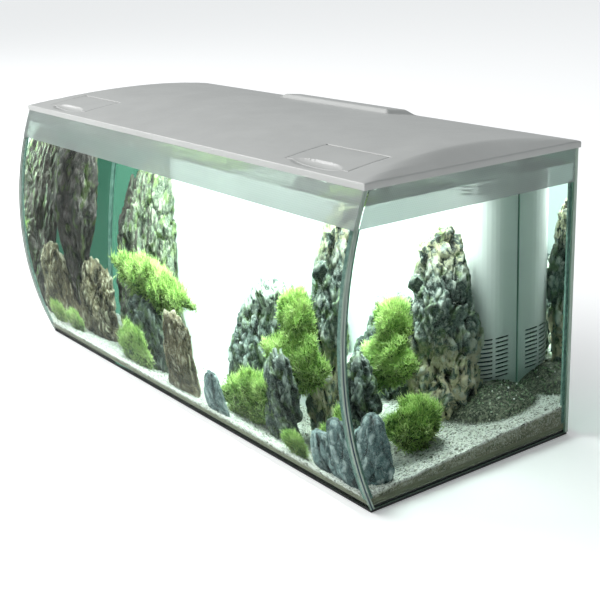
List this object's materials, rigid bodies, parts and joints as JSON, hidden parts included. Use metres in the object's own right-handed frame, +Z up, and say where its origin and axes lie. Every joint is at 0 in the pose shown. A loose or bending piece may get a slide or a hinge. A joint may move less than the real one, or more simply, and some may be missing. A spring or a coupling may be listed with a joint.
{
  "type": "aquarium",
  "caption": "Planted glass aquarium with a vertically bowed front pane, a lift-off vaulted hood with hinged feed flaps and a light strip, and a slotted filter module at the back.",
  "frame": {"origin": "middle of the overall footprint, on the surface that the tank stands on", "axes": "+Z up, +X along the width of the tank, -Y towards its bowed front"},
  "size_m": [0.82, 0.358, 0.384],
  "materials": {
    "clear_glass": "polished clear float glass, faint green",
    "frosted_film": "translucent frosted film",
    "silicone": "clear cured silicone bead",
    "black_foam": "closed-cell foam mat",
    "grey_plastic": "satin silver-grey moulded plastic",
    "white_plastic": "smooth white moulded plastic",
    "dark_plastic": "satin black moulded plastic",
    "black_rubber": "soft moulded rubber",
    "steel_pin": "bright drawn stainless wire",
    "aluminium": "satin extruded",
    "circuit_board": "white solder mask",
    "diffuser": "opal white light cover",
    "filter_foam": "open-cell reticulated foam",
    "carbon_mesh": "mesh bag of activated carbon",
    "ceramic_mesh": "mesh bag of ceramic rings",
    "gravel": "loose rounded natural gravel over sand (stone, not plastic)",
    "dark_stone": "rough dark grey-green rock (stone, not plastic)",
    "pale_stone": "rough tan and cream rock (stone, not plastic)",
    "blue_stone": "smooth blue-grey veined stone (stone, not plastic)",
    "moss": "soft cushion of fine yellow-green strands"
  },
  "bodies": {
    "tank": {"base_mat": "black_foam", "front_pane": "clear_glass", "rear_pane": "clear_glass", "left_pane": "clear_glass", "right_pane": "clear_glass", "bottom_pane": "clear_glass", "silicone_bead": "silicone", "front_band_film": "frosted_film", "left_band_film": "frosted_film", "right_band_film": "frosted_film", "filter_housing": "white_plastic", "left_partition": "white_plastic", "right_partition": "white_plastic", "left_media_basket": "dark_plastic", "left_foam_block": "filter_foam", "left_carbon_bag": "carbon_mesh", "left_ceramic_ring_bag": "ceramic_mesh", "right_media_basket": "dark_plastic", "right_foam_block": "filter_foam", "right_carbon_bag": "carbon_mesh", "right_ceramic_ring_bag": "ceramic_mesh", "left_pump_body": "dark_plastic", "left_outlet_pipe": "dark_plastic", "left_outlet_elbow": "dark_plastic", "right_pump_body": "dark_plastic", "right_outlet_pipe": "dark_plastic", "right_outlet_elbow": "dark_plastic", "gravel_bed": "gravel", "tall_rock": "dark_stone", "leaning_left_rock": "dark_stone", "centre_rock": "dark_stone", "dark_centre_rock": "dark_stone", "pale_front_stone": "pale_stone", "blue_grey_stone": "blue_stone", "brown_jagged_stone": "pale_stone", "dark_left_rock": "dark_stone", "rear_left_rock": "dark_stone", "corner_stone_left": "blue_stone", "corner_stone_right": "blue_stone", "left_moss_bank": "moss", "left_moss_foot": "moss", "far_left_moss": "moss", "upper_moss": "moss", "middle_moss": "moss", "lower_moss": "moss", "moss_tuft": "moss", "right_moss": "moss"},
    "hood": {"hood_shell": "grey_plastic", "cable_grommet": "black_rubber", "left_flap_pin": "steel_pin", "right_flap_pin": "steel_pin", "lamp_housing": "aluminium", "led_board": "circuit_board", "lamp_diffuser": "diffuser"},
    "left_flap": {"left_feed_flap": "grey_plastic"},
    "right_flap": {"right_feed_flap": "grey_plastic"},
    "left_nozzle": {"left_outlet_nozzle": "dark_plastic"},
    "right_nozzle": {"right_outlet_nozzle": "dark_plastic"},
    "left_rotor": {"left_impeller": "white_plastic"},
    "right_rotor": {"right_impeller": "white_plastic"}
  },
  "joints": [
    {"name": "hood_lift", "type": "slide", "parent": "tank", "child": "hood", "axis": [0, 0, 1], "range_m": [0, 0.15]},
    {"name": "left_flap_hinge", "type": "hinge", "parent": "hood", "child": "left_flap", "pos_m": [-0.306, -0.072, 0.3766], "axis": [-1, 0, 0], "range_deg": [0, 95]},
    {"name": "right_flap_hinge", "type": "hinge", "parent": "hood", "child": "right_flap", "pos_m": [0.306, -0.072, 0.3766], "axis": [-1, 0, 0], "range_deg": [0, 95]},
    {"name": "left_nozzle_swivel", "type": "hinge", "parent": "tank", "child": "left_nozzle", "pos_m": [-0.02, 0.094, 0.318], "axis": [0, -1, 0], "range_deg": [-90, 90]},
    {"name": "right_nozzle_swivel", "type": "hinge", "parent": "tank", "child": "right_nozzle", "pos_m": [0.07, 0.094, 0.318], "axis": [0, -1, 0], "range_deg": [-90, 90]},
    {"name": "left_impeller_spin", "type": "hinge", "parent": "tank", "child": "left_rotor", "pos_m": [-0.02, 0.123, 0.0386], "axis": [0, 1, 0], "continuous": true},
    {"name": "right_impeller_spin", "type": "hinge", "parent": "tank", "child": "right_rotor", "pos_m": [0.07, 0.123, 0.0386], "axis": [0, 1, 0], "continuous": true}
  ]
}
